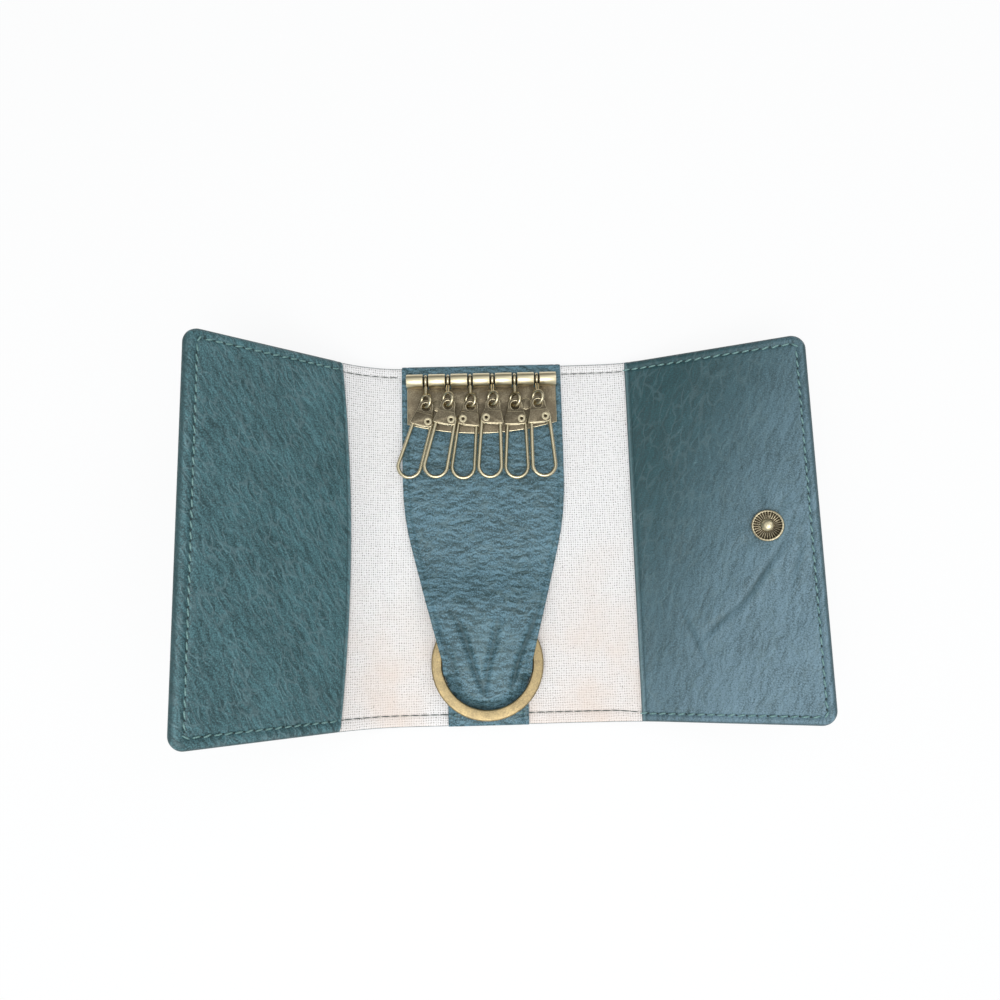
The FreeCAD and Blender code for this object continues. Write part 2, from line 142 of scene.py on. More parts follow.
class KeyCaseLeather(bpy.types.PropertyGroup):
    left_wing: length("Left Wing", "Width of the left wing from its outer crease", 49.1 * MM)
    right_wing: length("Right Wing", "Width of the right wing from its outer crease", 50.1 * MM)
    left_soft: length("Left Bend", "Half the length over which each left crease bends", 4.6 * MM)
    right_soft: length("Right Bend", "Half the length over which each right crease bends", 6.6 * MM)
    corner: length("Corner Radius", "Rounding of the wings' free corners", 4.0 * MM)
    rim: length("Rim Radius", "Roll of the turned edge", 1.6 * MM)
    seam: length("Seam Depth", "Depth of the edge seam under the lining's face", 0.5 * MM)
    pocket: length("Pocket Thickness", "Height of the pocket sheet over the lining", 1.2 * MM)
    outer: length("Shell Thickness", "Leather and lining together", 2.0 * MM)
    stitch_in: length("Stitch Inset", "Distance of the stitching from the side and bottom edges", 3.1 * MM)
    stitch_right: length("Right Stitch Inset", "The same on the right wing", 2.3 * MM)
    stitch_top: length("Top Stitch Inset", "Distance of the stitching from the top edge", 2.7 * MM)
    stitch_pitch: length("Stitch Pitch", "Length from one stitch to the next", 2.6 * MM)
    snap_edge: length("Snap Inset", "Distance of the snap from the right wing's edge", 12.9 * MM)
    # The groove colour is the grain's own tone in its grooves. It is also painted shade: on the shaded side of the
    # wrinkles, in the creases' valleys, in hollow folds, on the rolled rim and in the groove by a pocket's mouth.
    deep: colour("Groove Colour", "Colour in the grooves of the grain", (0.022, 0.056, 0.061))
    left: colour("Left Colour", "Colour of the left pocket's grain", (0.090, 0.212, 0.236))
    right: colour("Right Colour", "Colour of the right pocket's grain", (0.025, 0.088, 0.100))
    strap: colour("Strap Colour", "Colour of the strap's grain", (0.136, 0.260, 0.325))
    shell: colour("Shell Colour", "Colour of the outer leather's grain", (0.085, 0.170, 0.180))
    # This colour is painted highlight, partly wear: it lightens the high points of the wrinkles' relief, the lit
    # side of the crease net, raised folds and the rolled lip at a pocket's mouth.
    worn_and_lit: colour("Worn Colour", "Colour of the ridges of the wrinkles", (0.250, 0.390, 0.420))
    # The sheen colour is a painted sheen in place of a reflection: the lower outer part of the right pocket is
    # lightened towards it.
    sheen: colour("Sheen Colour", "Colour where the grain is rubbed flat", (0.196, 0.306, 0.376))


class KeyCaseCanvas(bpy.types.PropertyGroup):
    thread: length("Thread Pitch", "Spacing of the threads in the weave", 0.66 * MM)
    # light and side are painted light and shade on the threads' crowns and sides; dark is painted shade in the
    # gaps and also the colour of the specks.
    light: colour("Light Thread", "Colour on top of the threads", (0.920, 0.900, 0.890))
    side: colour("Thread Side", "Colour on the sides of the threads", (0.740, 0.710, 0.690))
    dark: colour("Gap Colour", "Colour in the gaps of the weave", (0.240, 0.215, 0.195))
    warm: colour("Warm Tone", "Colour towards the bottom edge", (0.840, 0.690, 0.590))


class KeyCaseBrass(bpy.types.PropertyGroup):
    wire: length("Wire Radius", "Radius of the hook wire", 0.535 * MM)
    bright: colour("Bright Brass", "Rubbed brass", (0.800, 0.700, 0.470))
    drawn: colour("Wire Brass", "Drawn brass of the hooks", (0.640, 0.555, 0.370))
    gold: colour("Ring Brass", "Brass of the ring", (0.560, 0.425, 0.215))
    dull: colour("Dull Brass", "Darkened brass in the recesses", (0.130, 0.105, 0.070))
    ribs: bpy.props.IntProperty(name="Stud Ribs", description="Ribs in the dish of the snap stud", default=30)


class KeyCaseStage(bpy.types.PropertyGroup):
    turn: bpy.props.FloatVectorProperty(
        name="Camera Turn", description="Turns about X, Y and Z from the case to the camera", size=3,
        subtype="EULER", default=[math.radians(a) for a in (-8.95, 0.69, 1.47)],
    )
    shift: bpy.props.FloatVectorProperty(
        name="Camera Offset", description="Place of the case in the camera's own axes", size=3,
        subtype="TRANSLATION", unit="LENGTH", default=(-4.3 * MM, -11.3 * MM, -227.0 * MM),
    )
    lens: bpy.props.FloatProperty(name="Lens", description="Focal length in millimetres", default=28.8)
    floor: colour("Floor Colour", "Colour of the table", (0.88, 0.88, 0.88))


class Wire:
    """A node socket that takes part in Python arithmetic."""

    def __init__(self, nodes, socket):
        self.nodes = nodes
        self.socket = socket

    def maths(self, operation, first, second):
        return self.nodes.add("ShaderNodeMath", {"operation": operation}, {0: first, 1: second})

    def __add__(self, other):
        return self.maths("ADD", self, other)

    __radd__ = __add__

    def __sub__(self, other):
        return self.maths("SUBTRACT", self, other)

    def __rsub__(self, other):
        return self.maths("SUBTRACT", other, self)

    def __mul__(self, other):
        return self.maths("MULTIPLY", self, other)

    __rmul__ = __mul__

    def step(self, low, high):
        """0 below low and 1 above high, smooth between them."""
        sockets = {"Value": self, "From Min": low, "From Max": high, "To Min": 0.0, "To Max": 1.0}
        return self.nodes.add("ShaderNodeMapRange", {"interpolation_type": "SMOOTHSTEP"}, sockets)

    def most(self, other):
        return self.maths("MAXIMUM", self, other)

    def size(self):
        return self.maths("ABSOLUTE", self, 0.0)


class Nodes:
    """The node tree of a material or a world."""

    def __init__(self, owner):
        owner.use_nodes = True
        self.tree = owner.node_tree
        self.tree.nodes.clear()

    def add(self, kind, settings=None, sockets=None, out=0):
        node = self.tree.nodes.new(kind)
        for key, value in (settings or {}).items():
            setattr(node, key, value)
        for key, value in (sockets or {}).items():
            if isinstance(value, Wire):
                self.tree.links.new(value.socket, node.inputs[key])
            else:
                node.inputs[key].default_value = value
        return Wire(self, node.outputs[out])

    def uv(self):
        return self.add("ShaderNodeUVMap", {"uv_map": "flat"})

    def place(self):
        return self.add("ShaderNodeTexCoord", out="Object")

    def mapped(self, vector, scale, turn=0.0):
        """The vector turned about Z, then scaled."""
        turned = self.add("ShaderNodeMapping", None, {"Vector": vector, "Rotation": (0.0, 0.0, turn)})
        return self.add("ShaderNodeMapping", None, {"Vector": turned, "Scale": scale})

    def moved(self, vector, across):
        return self.add("ShaderNodeMapping", None, {"Vector": vector, "Location": (across, 0.0, 0.0)})

    def noise(self, vector, scale, detail=2.0, rough=0.5, out="Fac"):
        sockets = {"Vector": vector, "Scale": scale, "Detail": detail, "Roughness": rough}
        return self.add("ShaderNodeTexNoise", None, sockets, out)

    def cells(self, vector, scale):
        """Distance from the edges of a net of cells."""
        settings = {"feature": "DISTANCE_TO_EDGE"}
        return self.add("ShaderNodeTexVoronoi", settings, {"Vector": vector, "Scale": scale}, "Distance")

    def wrinkles(self, vector, scale, across):
        """Relief of a noise as light from one side shows it."""
        return self.noise(self.moved(vector, across), scale, 3.0, 0.55) - self.noise(vector, scale, 3.0, 0.55)

    def warped(self, vector, scale, amount):
        """The vector pushed about by noise."""
        push = self.vectors("SUBTRACT", {0: self.noise(vector, scale, out="Color"), 1: (0.5, 0.5, 0.5)})
        push = self.vectors("SCALE", {0: push, "Scale": amount})
        return self.vectors("ADD", {0: vector, 1: push})

    def vectors(self, operation, sockets, out=0):
        return self.add("ShaderNodeVectorMath", {"operation": operation}, sockets, out)

    def part(self, vector, axis):
        return self.add("ShaderNodeSeparateXYZ", None, {0: vector}, axis)

    def mix(self, factor, first, second):
        """A mix of two colours. 6 and 7 are the node's colour inputs, and 2 is its colour output."""
        sockets = {0: factor, 6: rgba(first), 7: rgba(second)}
        return self.add("ShaderNodeMix", {"data_type": "RGBA"}, sockets, 2)

    def bump(self, height, distance, strength):
        sockets = {"Height": height, "Distance": distance, "Strength": strength}
        return self.add("ShaderNodeBump", None, sockets)

    def attribute(self, name):
        return self.add("ShaderNodeAttribute", {"attribute_name": name}, out="Fac")

    def finish(self, tone, rough, normal, more):
        sockets = {"Base Color": tone, "Roughness": rough, "Normal": normal, **more}
        self.end(self.add("ShaderNodeBsdfPrincipled", None, sockets))

    def end(self, shader, kind="ShaderNodeOutputMaterial"):
        node = self.tree.nodes.new(kind)
        self.tree.links.new(shader.socket, node.inputs["Surface"])


def new_finish(name):
    material = bpy.data.materials.new(name)
    if material.name != name:
        raise ValueError("there is already a material named " + name)
    return Nodes(material)


def rgba(value):
    return value if isinstance(value, Wire) or len(value) == 4 else (*value, 1.0)


def leather_finish(name, face, flow, close, stretch, relief, crease, fold=None, glow=0.0):
    """Grained leather with wrinkles and a net of creases, drawn out along the flow angle.

    close is how close they lie. relief and crease are how strongly the wrinkles and the net show, each in painted
    light and shade, glow how strongly the lower outer part takes a painted sheen. A fold gives the places of a
    pocket's edges."""
    shift = 0.30 * MM
    edge = 0.9 * MM
    lip_at = 0.6 * MM
    groove_at = 1.5 * MM
    sizes = bpy.context.scene.key_case_leather
    n = new_finish(name)
    flat = n.uv()
    patches = n.noise(flat, 85.0, 3.0)
    loose = n.warped(flat, 150.0, 0.003)
    along = n.mapped(n.warped(loose, 1200.0, 0.0004), (1.0, 1.0 / stretch, 1.0), -math.radians(flow))
    slope = n.wrinkles(along, close, 0.4 * MM)
    net = n.warped(along, 420.0, 0.0010)
    worn_in = n.noise(flat, 150.0, 2.0).step(0.30, 0.62)
    # The net's valleys are painted shade; its lines, the same net moved aside by shift, are the lit side of each
    # crease in painted highlight.
    groove = (1.0 - n.cells(net, close).step(0.0, 0.13)) * worn_in
    lines = (1.0 - n.cells(n.moved(net, shift), close).step(0.0, 0.12)) * worn_in
    hollow = n.attribute("hollow")
    grain = n.cells(n.warped(flat, 500.0, 0.0006), 1700.0).step(0.0, 0.22)
    fine = n.noise(flat, 2300.0, 2.0, 0.7)
    # The wrinkles' slope, their relief as light from one side shows it, paints light and shade into the tone, over
    # the grain's own tone and patches.
    shade = grain * 0.30 + fine * 1.5 + patches * 0.6 + slope * relief - 0.76
    tone = n.mix(shade.step(0.0, 0.9), sizes.deep, face)
    # Painted sheen in place of a reflection: the lower outer part is lightened towards the sheen colour.
    if glow:
        low = (n.part(flat, "X") * 1.3 - n.part(flat, "Y") * 0.7).step(0.04, 0.13)
        tone = n.mix(low * glow * shade.step(-0.4, 0.9), tone, sizes.sheen)
    # Painted highlight, partly wear, where the relief and the grain stand highest.
    tone = n.mix((shade - 0.75).step(0.0, 0.9) * 0.6, tone, sizes.worn_and_lit)
    # Painted shade in the creases' valleys, then painted highlight on their lit side.
    tone = n.mix(groove * crease * 2.0, tone, sizes.deep)
    tone = n.mix(lines * crease, tone, sizes.worn_and_lit)
    # Painted shade, partly dirt, in hollow folds, and painted highlight on raised ones.
    tone = n.mix(hollow.step(0.05, 0.9) * 0.65, tone, sizes.deep)
    tone = n.mix((0.0 - hollow).step(0.05, 0.9) * 0.35, tone, sizes.worn_and_lit)
    if fold:
        out = n.part(flat, "X").size()
        high = n.part(flat, "Y").size()
        # Painted shade on the rolled rim at the free edges.
        rim = out.step(fold.end - edge, fold.end).most(high.step(HALF_H - edge, HALF_H))
        tone = n.mix(rim * 0.7, tone, sizes.deep)
        start = mouth(fold, 0.0)
        lip = out - high * high * ((mouth(fold, HALF_H) - start) / HALF_H**2) - start
        # Painted highlight on the rolled lip of the mouth, and painted shade in the groove beside it.
        tone = n.mix((1.0 - (lip - lip_at).size().step(0.0, 0.6 * MM)) * 0.35, tone, sizes.worn_and_lit)
        tone = n.mix((1.0 - (lip - groove_at).size().step(0.0, 0.4 * MM)) * 0.5, tone, sizes.deep)
    normal = n.bump(grain * 0.25 + fine * 0.5 + lines * crease * 0.6, 0.00014, 0.9)
    n.finish(tone, 0.46 + 0.14 * patches - 0.10 * lines, normal, {"Specular IOR Level": 0.45})


def canvas_finish():
    """Unbleached plain weave with slubs, gaps and specks, warmer towards the bottom edge. The threads' crowns are
    painted light, their sides and the gaps painted shade.
    """
    sizes = bpy.context.scene.key_case_canvas
    n = new_finish("canvas_weave")
    flat = n.uv()
    soft = n.warped(flat, 320.0, 0.0007)
    waves = [
        n.add("ShaderNodeMath", {"operation": "SINE"}, {0: n.part(soft, axis) * (math.pi / sizes.thread)})
        for axis in ("X", "Y")
    ]
    warp, weft = (wave.size() for wave in waves)
    over = (waves[0] * waves[1]).step(-0.2, 0.2)
    weave = warp * over + weft * (1.0 - over)
    gaps = ((1.0 - warp) * (1.0 - weft)).step(0.10, 0.50)
    pitch = 1.0 / sizes.thread
    slub_x = n.noise(n.mapped(flat, (pitch * 0.9, pitch * 0.06, 1.0)), 1.0, 2.0)
    slub_y = n.noise(n.mapped(flat, (pitch * 0.06, pitch * 0.9, 1.0)), 1.0, 2.0)
    slubs = slub_x.most(slub_y)
    uneven = n.noise(flat, 1500.0, 2.0)
    clouds = n.noise(flat, 45.0, 3.0)
    # Painted light on the threads' crowns and painted shade on their sides, varied by the slubs.
    tone = n.mix((weave * 0.9 + slubs * 0.9 - 0.5).step(0.0, 0.7), sizes.side, sizes.light)
    # Painted shade in the weave's gaps.
    tone = n.mix(gaps * uneven.step(0.36, 0.66), tone, sizes.dark)
    low = (0.0 - n.part(flat, "Y")).step(-0.005, 0.05)
    tone = n.mix(low * clouds.step(0.25, 0.75) * 0.85 + clouds.step(0.52, 0.8) * 0.12, tone, sizes.warm)
    tone = n.mix(n.noise(flat, 900.0, 1.0).step(0.72, 0.80) * 0.6, tone, sizes.dark)
    normal = n.bump(weave * 0.8 + slubs * 0.4 - gaps * 0.3, 0.00014, 0.8)
    n.finish(tone, 0.92, normal, {"Specular IOR Level": 0.2})


def brass_finish(name, bright, rub, rough, brushed=False):
    """Antique brass: bright where the mesh says that it is rubbed, dull and brown elsewhere."""
    sizes = bpy.context.scene.key_case_brass
    n = new_finish(name)
    at = n.place()
    rubbed = n.attribute("rub")
    spots = n.noise(at, 2400.0, 3.0, 0.65)
    shade = (n.noise(at, 420.0, 3.0, 0.6) * 0.35 + spots * 0.55 + rubbed * 0.8 + (rub - 0.45)).step(0.0, 0.8)
    grit = n.noise(at, 9000.0, 2.0)
    if brushed:
        grit = n.noise(n.mapped(at, (1.0, 0.06, 1.0), 0.6), 7000.0, 2.0)
    tone = n.mix(shade, sizes.dull, bright)
    normal = n.bump(grit * 0.6 + spots * 0.4, 0.00003, 0.6)
    n.finish(tone, rough + 0.16 * (1.0 - shade) + 0.08 * spots, normal, {"Metallic": 1.0})


def thread_finish(name, tone, light):
    n = new_finish(name)
    ply = n.noise(n.place(), 3800.0, 2.0)
    # The ply noise mixes in the lighter colour as painted highlight on the thread.
    n.finish(n.mix(ply.step(0.3, 0.7), tone, light), 0.55, n.bump(ply, 0.00005, 0.7), {})


def made(name):
    return bpy.data.materials[name]


def as_object(bm, name, material, sharp=40.0):
    """Turns a bmesh into a smooth-shaded object at the origin."""
    mesh = bpy.data.meshes.new(name)
    bm.to_mesh(mesh)
    bm.free()
    mesh.materials.append(made(material))
    mesh.polygons.foreach_set("use_smooth", [True] * len(mesh.polygons))
    mesh.set_sharp_from_angle(angle=math.radians(sharp))
    piece = bpy.data.objects.new(name, mesh)
    bpy.context.scene.collection.objects.link(piece)
    return piece


def sheet_mesh(us, ys, place):
    """A closed sheet: a grid of us by ys, thickened, each corner then carried to its place.

    place(u, y, top) gives the point of the upper or the lower face, its flat place and how hollow it lies."""
    bm = bmesh.new()
    hollow = bm.verts.layers.float.new("hollow")
    bmesh.ops.create_grid(bm, x_segments=len(us) - 1, y_segments=len(ys) - 1, size=1.0)
    left = min(v.co.x for v in bm.verts)
    low = min(v.co.y for v in bm.verts)
    wide = max(v.co.x for v in bm.verts) - left
    high = max(v.co.y for v in bm.verts) - low
    grown = bmesh.ops.extrude_face_region(bm, geom=bm.faces[:], use_keep_orig=True)
    top = {v for v in grown["geom"] if isinstance(v, bmesh.types.BMVert)}
    flat_at = {}
    for v in bm.verts:
        i = round((v.co.x - left) / wide * (len(us) - 1))
        j = round((v.co.y - low) / high * (len(ys) - 1))
        v.co, flat_at[v], v[hollow] = place(us[i], ys[j], v in top)
    layer = bm.loops.layers.uv.new("flat")
    for face in bm.faces:
        for loop in face.loops:
            loop[layer].uv = flat_at[loop.vert]
    bmesh.ops.recalc_face_normals(bm, faces=bm.faces)
    return bm


def spread(start, end, step):
    """Evenly spaced values from start to end, both included."""
    count = max(1, round(abs(end - start) / step))
    return [start + (end - start) * i / count for i in range(count + 1)]


def roll_rows(rim, turns, beyond):
    """Distances from an edge: at these turns of its roll, in degrees, and beyond it, in millimetres."""
    return [rim * (1 - math.cos(math.radians(a))) for a in turns] + [d * MM for d in beyond]


def rim_rows(rim):
    """Distances from an edge: close together where it rolls over and at the stitching."""
    return roll_rows(rim, (0, 20, 38, 56, 73, 90), (2.0, 2.4, 2.75, 3.1, 3.45, 3.8, 4.3))


def lay_sheet(bm, name, material, nodes):
    """A sheet as an object that stands for the named solids."""
    piece = as_object(bm, name, material)
    for node in nodes:
        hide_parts(node)
    return piece


def panels(fold, kinds, material, wing_us, ys, place):
    """One layer of a side: half of the centre panel, and the wing from the middle of the spine strip on."""
    sheet, node = kinds
    nodes = ["%s_%s_spine" % (node, fold.name)]
    if fold.side < 0:
        nodes.append(node + "_centre")
    half = sheet_mesh(spread(0, fold.middle, GRID), ys, place)
    half = lay_sheet(half, "%s_centre_%s" % (sheet, fold.name), material, nodes)
    fold.bend_inner(half)
    nodes = ["%s_%s_wing" % (node, fold.name)]
    wing = sheet_mesh(wing_us, ys, place)
    wide = wing_us[-1] - fold.middle
    wing = lay_sheet(wing, "%s_wing_%s" % (sheet, fold.name), material, nodes)
    fold.bend_outer(wing)


class Fold:
    """The bent line of one wing, seen along Y: centre panel, spine strip and wing."""

    def __init__(self, name, side, wing, soft, inset):
        inner = JOINTS[name + "_inner_fold"]
        outer = JOINTS[name + "_outer_fold"]
        self.name = name
        self.side = side
        self.soft = soft
        self.inset = inset
        self.corner = [Vector((abs(j["pos_m"][0]), j["pos_m"][2])) for j in (inner, outer)]
        first = math.radians(-inner["range_deg"][0])
        second = first + math.radians(-outer["range_deg"][0])
        self.along = [Vector((math.cos(a), math.sin(a))) for a in (0.0, first, second)]
        self.crease = self.corner[0].x
        self.hinge = self.crease + (self.corner[1] - self.corner[0]).length
        self.middle = (self.crease + self.hinge) / 2
        self.end = self.hinge + wing

    def line(self, u):
        """Point and direction on the lining's face, u from the centre line."""
        for i, at in enumerate((self.crease, self.hinge)):
            t = (u - at + self.soft) / (2 * self.soft)
            if 0 < t < 1:
                corner = self.corner[i]
                before = corner - self.along[i] * self.soft
                after = corner + self.along[i + 1] * self.soft
                point = before * (1 - t) ** 2 + corner * (2 * t * (1 - t)) + after * t * t
                return point, ((corner - before) * (1 - t) + (after - corner) * t).normalized()
        if u < self.crease:
            return self.corner[0] + self.along[0] * (u - self.crease), self.along[0]
        if u < self.hinge:
            return self.corner[0] + self.along[1] * (u - self.crease), self.along[1]
        return self.corner[1] + self.along[2] * (u - self.hinge), self.along[2]

    def at(self, u, y, n):
        """The point at height n over the lining's face."""
        point, way = self.line(u)
        return Vector((self.side * (point.x - way.y * n), y, point.y + way.x * n))

    def rounded(self, u, y, radius):
        """The spot once the free corners are rounded, and its distances from the free edge and the seam."""
        du = self.end - u
        dv = HALF_H - abs(y)
        if du < radius and dv < radius:
            q = Vector((radius - du, radius - dv))
            if q.length > 0:
                q *= max(q) / q.length
            u = self.end - radius + q.x
            y = math.copysign(HALF_H - radius + q.y, y)
        sizes = bpy.context.scene.key_case_leather
        inset = sizes.stitch_top if y > 0 and dv < du else self.inset
        return u, y, min(du, dv), min(du, dv) - inset

    def flat(self, u, y, rim):
        """The place on the flat sheet, with the rolled edge laid out."""
        y += math.copysign(roll_spare(HALF_H - abs(y), rim), y)
        return self.side * (u + roll_spare(self.end - u, rim)), y

    def bend(self, piece, at):
        """Bakes the piece's place into its mesh. Where the bodies near and far meet is worked out but not used;
        the piece is not bent.
        """
        start = self.at(at - self.soft, 0, 0)
        end = self.at(at + self.soft, 0, 0)
        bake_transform(piece)

    def bend_inner(self, piece):
        self.bend(piece, self.crease)

    def bend_outer(self, piece):
        self.bend(piece, self.hinge)


def folds():
    sizes = bpy.context.scene.key_case_leather
    return (
        Fold("left", -1, sizes.left_wing, sizes.left_soft, sizes.stitch_in),
        Fold("right", 1, sizes.right_wing, sizes.right_soft, sizes.stitch_right),
    )


def roll_height(d, rim):
    """Share of the full height that a rolled edge has reached at distance d."""
    if d >= rim:
        return 1.0
    return math.sqrt(max(0.0, 1 - (1 - d / rim) ** 2))


def roll_spare(d, rim):
    """How much longer a rolled edge is than it looks from above, beyond distance d."""
    if d >= rim:
        return 0.0
    return rim * math.asin(1 - max(d, 0.0) / rim) - (rim - max(d, 0.0))


def hump(x, middle, wide):
    """1 at the middle, falling off on both sides."""
    return math.exp(-(((x - middle) / wide) ** 2))


def stitch_dip(seam):
    """The stitching draws the sheet down, and the rim beside it stands up."""
    groove = hump(seam, 0, 0.45 * MM)
    bead = hump(seam, -1.3 * MM, 0.8 * MM)
    return (0.18 * bead - 0.36 * groove) * MM


def wave(u, y, turn, long, short, seed):
    """Gentle swells along a direction, between -1 and 1."""
    c, s = math.cos(turn), math.sin(turn)
    return noise.noise(Vector(((u * c + y * s) / long, (y * c - u * s) / short, seed)))


def edge_ys(rim):
    rows = rim_rows(rim)
    inside = spread(-HALF_H + rows[-1], HALF_H - rows[-1], 1.0 * MM)
    return [-HALF_H + d for d in rows[:-1]] + inside + [HALF_H - d for d in reversed(rows[:-1])]


class KEYCASE_OT_finishes(bpy.types.Operator):
    """Makes the leather, canvas, brass and thread finishes"""

    bl_idname = "keycase.finishes"
    bl_label = "Finishes"

    def execute(self, context):
        brass = context.scene.key_case_brass
        sizes = context.scene.key_case_leather
        left, right = folds()
        leather_finish(
            "leather_left", sizes.left, flow=32, close=540.0, stretch=2.8, relief=1.9, crease=0.26, fold=left
        )
        leather_finish(
            "leather_right", sizes.right, flow=-20, close=420.0, stretch=2.6, relief=2.1, crease=0.12,
            fold=right, glow=0.9,
        )
        leather_finish(
            "leather_strap", sizes.strap, flow=86, close=560.0, stretch=2.0, relief=2.8, crease=0.24
        )
        leather_finish(
            "leather_shell", sizes.shell, flow=12, close=520.0, stretch=2.0, relief=1.8, crease=0.26
        )
        canvas_finish()
        brass_finish("brass", brass.bright, rub=0.12, rough=0.30)
        brass_finish("brass_wire", brass.drawn, rub=0.66, rough=0.18)
        brass_finish("brass_ring", brass.gold, rub=0.42, rough=0.34, brushed=True)
        brass_finish("brass_dark", brass.bright, rub=-0.20, rough=0.50)
        # The second colour of each thread is its painted highlight.
        thread_finish("thread", (0.100, 0.215, 0.205), (0.250, 0.405, 0.390))
        thread_finish("thread_on_canvas", (0.030, 0.042, 0.036), (0.085, 0.110, 0.095))
        # The needle holes' colour is painted shade inside the holes.
        thread_finish("needle_hole_shade", (0.012, 0.030, 0.031), (0.024, 0.055, 0.056))
        return {"FINISHED"}


class KEYCASE_OT_shell(bpy.types.Operator):
    """Makes the outer leather, two halves for the centre and one sheet for each wing"""

    bl_idname = "keycase.shell"
    bl_label = "Outer Leather"

    def execute(self, context):
        sizes = context.scene.key_case_leather
        ys = edge_ys(sizes.rim)
        for fold in folds():

            def place(u, y, top, fold=fold):
                u, y, d, seam = fold.rounded(u, y, sizes.corner)
                n = -sizes.seam
                if not top:
                    full = sizes.outer - sizes.seam
                    n -= full * roll_height(d, sizes.rim) + stitch_dip(seam)
                    ripple = wave(u, y, turn=0.4, long=9 * MM, short=16 * MM, seed=3.1)
                    n += 0.12 * MM * ripple * min(1, d / (4 * MM))
                return fold.at(u, y, n), fold.flat(u, y, sizes.rim), 0.0

            rows = [fold.end - d for d in reversed(rim_rows(sizes.rim))]
            us = spread(fold.middle, rows[0], GRID) + rows[1:]
            panels(fold, ("shell", "outer"), "leather_shell", us, ys, place)
        return {"FINISHED"}


class KEYCASE_OT_lining(bpy.types.Operator):
    """Makes the canvas lining, two halves for the centre and one strip for each wing"""

    bl_idname = "keycase.lining"
    bl_label = "Canvas Lining"

    def execute(self, context):
        sizes = context.scene.key_case_leather
        hem = 0.7 * MM
        tuck = 12 * MM
        pull_in = 0.002
        ys = edge_ys(hem)
        for fold in folds():

            def place(u, y, top, fold=fold):
                d = HALF_H - abs(y)
                n = -sizes.seam - 0.05 * MM
                if top:
                    inset = sizes.stitch_top if y > 0 else sizes.stitch_in
                    n = n * (1 - roll_height(d, hem)) + 0.6 * stitch_dip(d - inset)
                    ripple = wave(u, y, turn=0.2, long=7 * MM, short=20 * MM, seed=7.7)
                    n += 0.10 * MM * ripple * min(1, d / (5 * MM))
                return fold.at(u, y * (1 - pull_in), n), (fold.side * u, y), 0.0

            us = spread(fold.middle, fold.hinge + tuck, GRID)
            panels(fold, ("canvas", "lining"), "canvas_weave", us, ys, place)
        return {"FINISHED"}


def mouth(fold, y):
    """Where a pocket's mouth lies: an arc on the left, a straight fold on the right."""
    if fold.side < 0:
        return fold.hinge + LEFT_MOUTH + LEFT_BOW * (y / HALF_H) ** 2
    return fold.hinge + RIGHT_MOUTH


class KEYCASE_OT_pockets(bpy.types.Operator):
    """Makes the leather pockets on the two wings"""

    bl_idname = "keycase.pockets"
    bl_label = "Pockets"

    def execute(self, context):
        sizes = context.scene.key_case_leather
        ys = edge_ys(sizes.rim)
        for fold in folds():
            snap = fold.end - sizes.snap_edge if fold.side > 0 else None

            def place(s, y, top, fold=fold, snap=snap):
                start = mouth(fold, y)
                u, y, d, seam = fold.rounded(start + s * (fold.end - start) / wide, y, sizes.corner)
                m = u - mouth(fold, y)
                n = -sizes.seam
                slack = swell(u, y, snap) * min(1, d / (4 * MM), m / (3 * MM))
                if top:
                    full = (sizes.pocket + sizes.seam) * roll_height(d, sizes.rim)
                    n += full * roll_height(m + 0.02 * MM, 0.9 * MM)
                    n += stitch_dip(seam) * min(1, m / MM)
                    n += slack
                    n -= 0.20 * MM * hump(m, 1.5 * MM, 0.35 * MM)
                return fold.at(u, y, n), fold.flat(u, y, sizes.rim), -slack / (0.9 * MM)

            wide = fold.end - fold.hinge
            lip = [d * MM for d in (0, 0.12, 0.35, 0.7, 1.1, 1.5, 2.0, 2.6)]
            rows = [wide - d for d in reversed(rim_rows(sizes.rim))]
            us = lip[:-1] + spread(lip[-1], rows[0], 0.8 * MM) + rows[1:]
            bm = sheet_mesh(us, ys, place)
            name = "pocket_sheet_" + fold.name
            nodes = ["pocket_" + fold.name]
            pocket = lay_sheet(bm, name, "leather_" + fold.name, nodes)
            fold.bend_outer(pocket)
        return {"FINISHED"}


def swell(u, y, snap):
    """How the pocket leather lies: slack on the left, a dimple and creases round the stud on the right."""
    if snap is None:
        lift = 0.16 * MM * wave(u, y, turn=1.05, long=5 * MM, short=15 * MM, seed=1.3)
        return lift + 0.12 * MM * wave(u, y, turn=1.05, long=2.2 * MM, short=9 * MM, seed=4.2)
    x = u - snap
    r = math.hypot(x, y)
    puckers = 9
    lift = -0.40 * MM * hump(r, 0, 6.5 * MM)
    lift += 0.12 * MM * math.cos(puckers * math.atan2(y, x) + 0.8) * hump(r, 7 * MM, 3.5 * MM)
    for at_x, at_y, turn, long, deep in PULLS:
        way = Vector((math.cos(math.radians(turn)), math.sin(math.radians(turn))))
        off = Vector((x - at_x * MM, y - at_y * MM))
        aside = off.cross(way) / MM
        across = 0.45 * hump(aside, 1.5, 1.0) - hump(aside, 0, 0.7)
        lift += deep * MM * across * hump(off.dot(way), 0, long * MM)
    return lift + 0.16 * MM * wave(u, y, turn=-0.7, long=6 * MM, short=18 * MM, seed=5.5)


def ease(t):
    t = min(max(t, 0.0), 1.0)
    return t * t * (3 - 2 * t)


def ring_top(y):
    return RING_Z + (RING_Y - y) * math.tan(RING_TILT) + RING_T / 2


